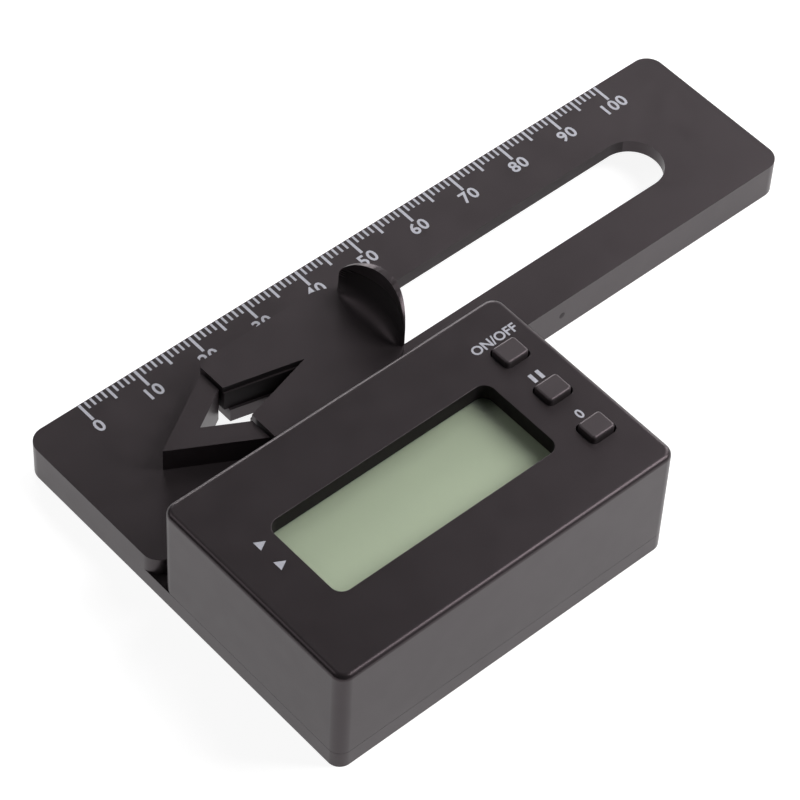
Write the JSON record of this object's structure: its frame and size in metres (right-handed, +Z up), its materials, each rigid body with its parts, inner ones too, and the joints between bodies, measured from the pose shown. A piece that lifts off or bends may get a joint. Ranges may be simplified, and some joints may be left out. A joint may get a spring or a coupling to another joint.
{
  "type": "digital pitch gauge",
  "caption": "Plastic pitch gauge: a millimetre-ruled slotted plate, a fixed and a sliding V jaw, and a display housing with keys and a battery bay.",
  "frame": {"origin": "middle of the overall plan outline, on the face that the gauge rests on", "axes": "+X along the ruler towards its high numbers, +Y towards the ruled edge, +Z up out of the display"},
  "size_m": [0.1212, 0.0676, 0.0211],
  "materials": {
    "black_plastic": "fine matte moulded black",
    "button_plastic": "satin black",
    "clear_window": "clear, polished",
    "display_glass": "grey-green blank display",
    "white_plastic": "matte",
    "strip_rubber": "soft, striped",
    "board_laminate": "green solder mask",
    "chip_resin": "moulded resin",
    "switch_plastic": "matte",
    "plated_steel": "zinc plated",
    "spring_steel": "nickel plated",
    "cell_jacket": null
  },
  "bodies": {
    "frame": {"base_plate": "black_plastic", "display_housing": "black_plastic", "display_window": "clear_window", "display_panel": "display_glass", "display_frame": "white_plastic", "connector_strip_rear": "strip_rubber", "connector_strip_front": "strip_rubber", "circuit_board": "board_laminate", "controller_chip": "chip_resin", "tilt_sensor": "chip_resin", "timing_crystal": "plated_steel", "capacitor": "chip_resin", "case_screw_1": "plated_steel", "case_screw_2": "plated_steel", "case_screw_3": "plated_steel", "case_screw_4": "plated_steel", "board_screw_1": "plated_steel", "board_screw_2": "plated_steel", "board_screw_3": "plated_steel", "board_screw_4": "plated_steel", "switch_body_power": "switch_plastic", "switch_body_hold": "switch_plastic", "switch_body_zero": "switch_plastic", "battery_cell_front": "cell_jacket", "battery_cell_rear": "cell_jacket", "contact_positive": "spring_steel", "contact_negative": "spring_steel", "contact_bridge": "spring_steel"},
    "slider": {"slider_jaw": "black_plastic", "slider_retainer": "black_plastic", "friction_spring": "spring_steel", "slider_screw_1": "plated_steel", "slider_screw_2": "plated_steel"},
    "power_key": {"button_power": "button_plastic", "switch_plunger_power": "button_plastic"},
    "hold_key": {"button_hold": "button_plastic", "switch_plunger_hold": "button_plastic"},
    "zero_key": {"button_zero": "button_plastic", "switch_plunger_zero": "button_plastic"},
    "door": {"battery_door": "black_plastic"}
  },
  "joints": [
    {"name": "jaw_slide", "type": "slide", "parent": "frame", "child": "slider", "axis": [1, 0, 0], "range_m": [0, 0.056]},
    {"name": "power_press", "type": "slide", "parent": "frame", "child": "power_key", "axis": [0, 0, -1], "range_m": [0, 0.0005], "stiffness_N_per_m": 1000},
    {"name": "hold_press", "type": "slide", "parent": "frame", "child": "hold_key", "axis": [0, 0, -1], "range_m": [0, 0.0005], "stiffness_N_per_m": 1000},
    {"name": "zero_press", "type": "slide", "parent": "frame", "child": "zero_key", "axis": [0, 0, -1], "range_m": [0, 0.0005], "stiffness_N_per_m": 1000},
    {"name": "battery_door_hinge", "type": "hinge", "parent": "frame", "child": "door", "pos_m": [-0.0563, -0.01525, 0], "axis": [0, 1, 0], "range_deg": [0, 75]}
  ]
}
